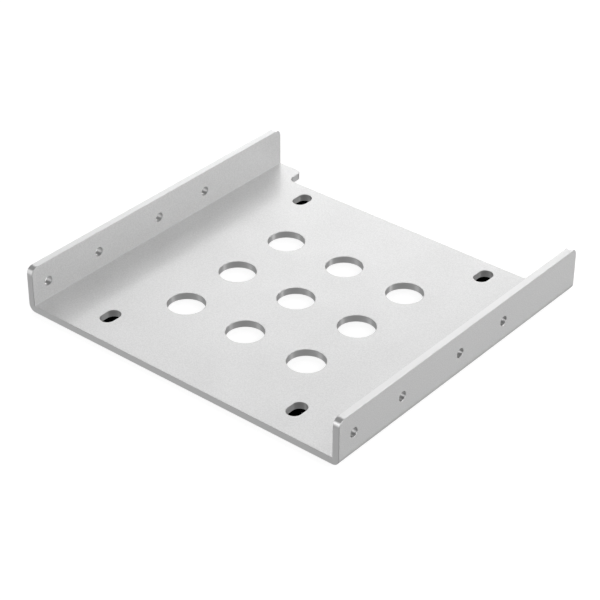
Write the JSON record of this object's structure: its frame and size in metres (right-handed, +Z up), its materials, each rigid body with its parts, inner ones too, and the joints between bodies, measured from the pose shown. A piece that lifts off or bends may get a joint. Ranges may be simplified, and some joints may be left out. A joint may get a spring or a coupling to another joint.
{
  "type": "drive bay adapter bracket",
  "caption": "Shallow U-shaped tray folded from one aluminium sheet, with side flanges, a grid of vent holes, drive screw slots and a notched rear edge.",
  "frame": {"origin": "on the underside, at the middle of the width and of the length", "axes": "+X from the left flange to the right one, +Y from the straight front edge to the notched rear edge, +Z up from the plate towards the flanges' top edges"},
  "size_m": [0.102, 0.098, 0.013],
  "materials": {
    "aluminium": "fine satin, bead blasted and clear anodised"
  },
  "bodies": {
    "root": {"bracket": "aluminium"}
  },
  "joints": []
}
